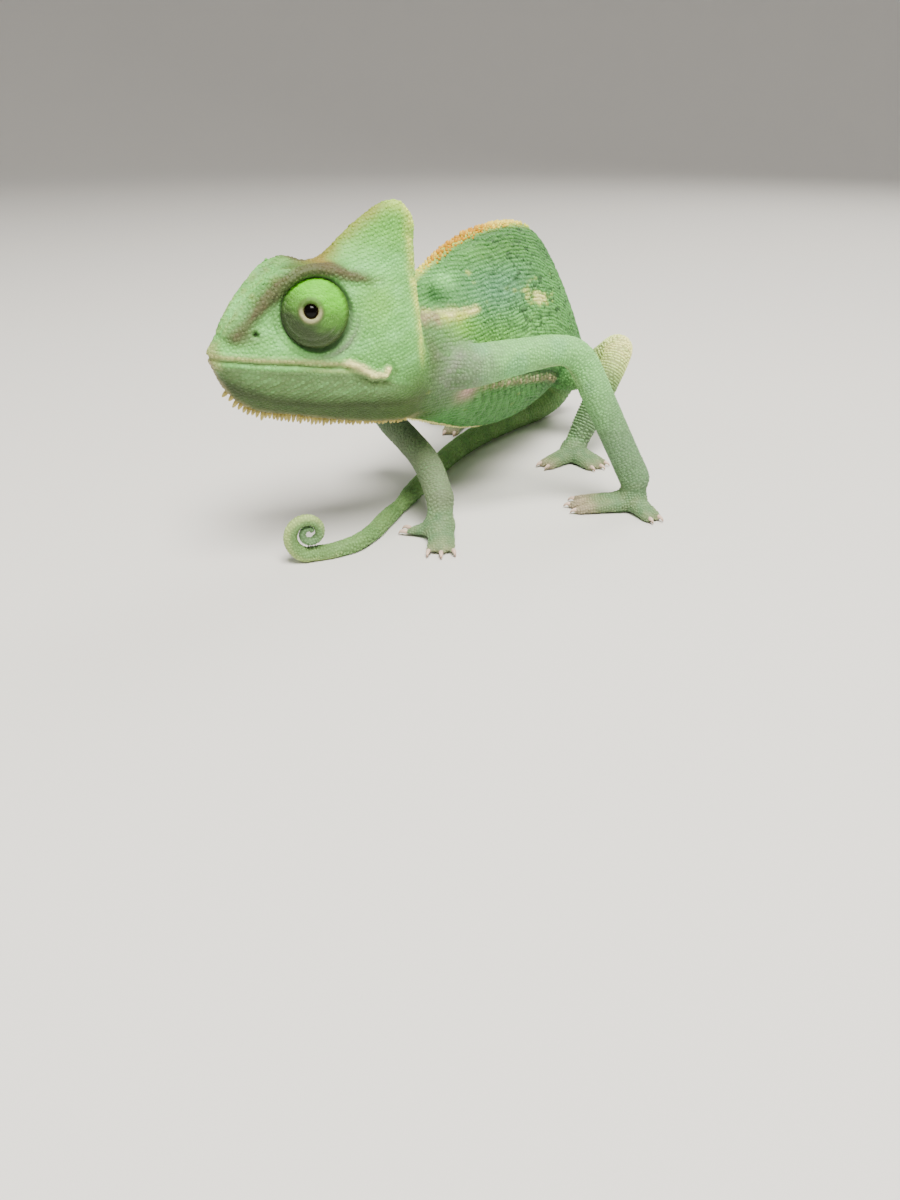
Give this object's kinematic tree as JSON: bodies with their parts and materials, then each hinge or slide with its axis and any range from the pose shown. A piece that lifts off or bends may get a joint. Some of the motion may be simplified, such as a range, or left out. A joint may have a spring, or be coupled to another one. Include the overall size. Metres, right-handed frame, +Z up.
{
  "type": "veiled chameleon",
  "caption": "Young veiled chameleon at life size, green with a low casque and turret eyes, standing with its head turned, one arm reaching out and its tail wound in a coil.",
  "frame": {"origin": "on the floor under the middle of the whole animal's bounding box", "axes": "+Z up, trunk facing -Y with the tail's root towards +Y, the animal's own left side towards +X"},
  "size_m": [0.0688, 0.1042, 0.0539],
  "materials": {
    "skin": "matt, covered in small rounded scales, green with paler and yellower marks",
    "turret": "matt, fine round granules, yellow-green above and darker below",
    "eye": "wet, glossy black"
  },
  "bodies": {
    "root": {"head": "skin", "casque": "skin", "lower_jaw": "skin", "neck": "skin", "trunk": "skin", "tail_base": "skin", "tail_middle": "skin", "tail_front": "skin", "tail_coil": "skin", "left_upper_arm": "skin", "left_forearm": "skin", "right_upper_arm": "skin", "right_forearm": "skin", "left_thigh": "skin", "left_shank": "skin", "right_thigh": "skin", "right_shank": "skin", "left_fore_foot": "skin", "right_fore_foot": "skin", "left_hind_foot": "skin", "right_hind_foot": "skin", "eye_turret_left": "turret", "eye_turret_right": "turret", "eyeball_left": "eye", "eyeball_right": "eye"}
  },
  "joints": []
}
